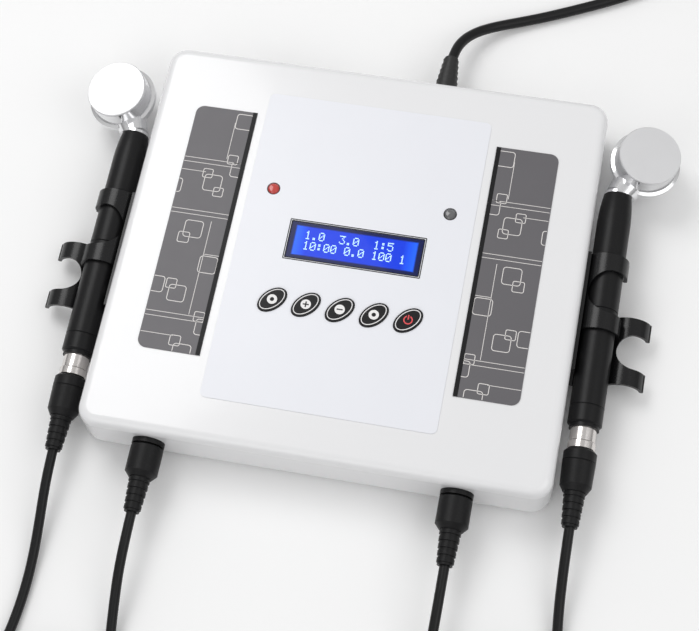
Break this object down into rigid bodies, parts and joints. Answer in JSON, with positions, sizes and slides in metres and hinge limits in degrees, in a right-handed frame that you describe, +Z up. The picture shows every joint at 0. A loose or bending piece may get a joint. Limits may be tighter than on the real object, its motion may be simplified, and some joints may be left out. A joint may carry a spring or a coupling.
{
  "type": "ultrasound therapy unit",
  "caption": "Bench-top ultrasound physiotherapy console with a key panel and a small display, a handpiece in a clip on each side, and spare hooks, lead plugs and a mains lead.",
  "frame": {"origin": "on the bench, under the middle of the console", "axes": "+X to the operator's right, +Y to the rear, +Z up"},
  "size_m": [0.3226, 0.5991, 0.0342],
  "materials": {
    "case_white": "smooth glossy white ABS",
    "film_grey": "printed satin polyester film",
    "panel_dark": "dark grey film with a light line pattern",
    "window_clear": "clear blue-tinted acrylic",
    "display_cell": "backlit blue liquid crystal cell",
    "black_metal": "satin black painted steel",
    "board_green": "green epoxy glass board",
    "key_black": "printed satin black",
    "switch_black": "moulded",
    "lamp_red": "translucent red epoxy",
    "lamp_grey": "translucent grey epoxy",
    "core_steel": "laminated electrical steel",
    "winding": "taped copper winding",
    "screw_steel": "zinc plated",
    "rubber_black": "soft matt",
    "cord_black": "satin PVC sheath",
    "black_plastic": "satin moulded black",
    "holder_black": "glossy moulded black",
    "head_metal": "polished, turned",
    "face_metal": "circular brushed face",
    "ferrule_metal": "bright nickel plate",
    "ceramic": "sintered piezo ceramic"
  },
  "bodies": {
    "console": {"lower_case": "case_white", "upper_case": "case_white", "case_screws": "screw_steel", "feet": "rubber_black", "front_film": "film_grey", "side_panel_left": "panel_dark", "side_panel_right": "panel_dark", "display_window": "window_clear", "display_frame": "black_metal", "display_glass": "display_cell", "display_board": "board_green", "tact_switches": "switch_black", "keypad_board": "board_green", "lamp_red": "lamp_red", "lamp_grey": "lamp_grey", "main_board": "board_green", "transformer_core": "core_steel", "transformer_winding": "winding", "holder_screws": "screw_steel", "fuse_holder": "black_plastic", "mains_strain_relief": "rubber_black", "mains_cable": "cord_black", "mains_coil": "cord_black", "mains_plug": "rubber_black", "output_socket_left": "black_plastic", "cable_plug_left": "black_plastic", "holder_left": "holder_black", "lead_tail_left": "cord_black", "lead_front_left": "cord_black", "lead_coil_left": "cord_black", "output_socket_right": "black_plastic", "cable_plug_right": "black_plastic", "holder_right": "holder_black", "lead_tail_right": "cord_black", "lead_front_right": "cord_black", "lead_coil_right": "cord_black", "rocker_frame": "black_plastic"},
    "key_mode": {"key_mode": "key_black"},
    "key_plus": {"key_plus": "key_black"},
    "key_minus": {"key_minus": "key_black"},
    "key_pulse": {"key_pulse": "key_black"},
    "key_start": {"key_start": "key_black"},
    "rocker": {"rocker": "black_plastic"},
    "handpiece_left": {"head_shell_left": "head_metal", "face_plate_left": "face_metal", "piezo_disc_left": "ceramic", "grip_left": "black_plastic", "barrel_left": "black_plastic", "tail_socket_left": "ferrule_metal"},
    "coupling_nut_left": {"coupling_nut_left": "ferrule_metal"},
    "lead_plug_left": {"lead_plug_left": "black_plastic"},
    "handpiece_right": {"head_shell_right": "head_metal", "face_plate_right": "face_metal", "piezo_disc_right": "ceramic", "grip_right": "black_plastic", "barrel_right": "black_plastic", "tail_socket_right": "ferrule_metal"},
    "coupling_nut_right": {"coupling_nut_right": "ferrule_metal"},
    "lead_plug_right": {"lead_plug_right": "black_plastic"}
  },
  "joints": [
    {"name": "key_mode_press", "type": "slide", "parent": "console", "child": "key_mode", "axis": [0, 0, -1], "range_m": [0, 0.0005], "stiffness_N_per_m": 400, "springref_m": -0.0003},
    {"name": "key_plus_press", "type": "slide", "parent": "console", "child": "key_plus", "axis": [0, 0, -1], "range_m": [0, 0.0005], "stiffness_N_per_m": 400, "springref_m": -0.0003},
    {"name": "key_minus_press", "type": "slide", "parent": "console", "child": "key_minus", "axis": [0, 0, -1], "range_m": [0, 0.0005], "stiffness_N_per_m": 400, "springref_m": -0.0003},
    {"name": "key_pulse_press", "type": "slide", "parent": "console", "child": "key_pulse", "axis": [0, 0, -1], "range_m": [0, 0.0005], "stiffness_N_per_m": 400, "springref_m": -0.0003},
    {"name": "key_start_press", "type": "slide", "parent": "console", "child": "key_start", "axis": [0, 0, -1], "range_m": [0, 0.0005], "stiffness_N_per_m": 400, "springref_m": -0.0003},
    {"name": "rocker_tilt", "type": "hinge", "parent": "console", "child": "rocker", "pos_m": [-0.064, 0.1055, 0.017], "axis": [1, 0, 0], "range_deg": [-8, 8]},
    {"name": "handpiece_left_slide", "type": "slide", "parent": "console", "child": "handpiece_left", "axis": [0, 0.9998, 0.0175], "range_m": [0, 0.1]},
    {"name": "coupling_nut_left_spin", "type": "hinge", "parent": "console", "child": "coupling_nut_left", "pos_m": [-0.1287, -0.07949, 0.01611], "axis": [0, 0.9998, 0.0175], "continuous": true},
    {"name": "lead_plug_left_pull", "type": "slide", "parent": "console", "child": "lead_plug_left", "axis": [0, -1, 0], "range_m": [0, 0.013]},
    {"name": "handpiece_right_slide", "type": "slide", "parent": "console", "child": "handpiece_right", "axis": [0, 0.9998, 0.0175], "range_m": [0, 0.1]},
    {"name": "coupling_nut_right_spin", "type": "hinge", "parent": "console", "child": "coupling_nut_right", "pos_m": [0.1287, -0.07489, 0.01611], "axis": [0, 0.9998, 0.0175], "continuous": true},
    {"name": "lead_plug_right_pull", "type": "slide", "parent": "console", "child": "lead_plug_right", "axis": [0, -1, 0], "range_m": [0, 0.013]}
  ]
}
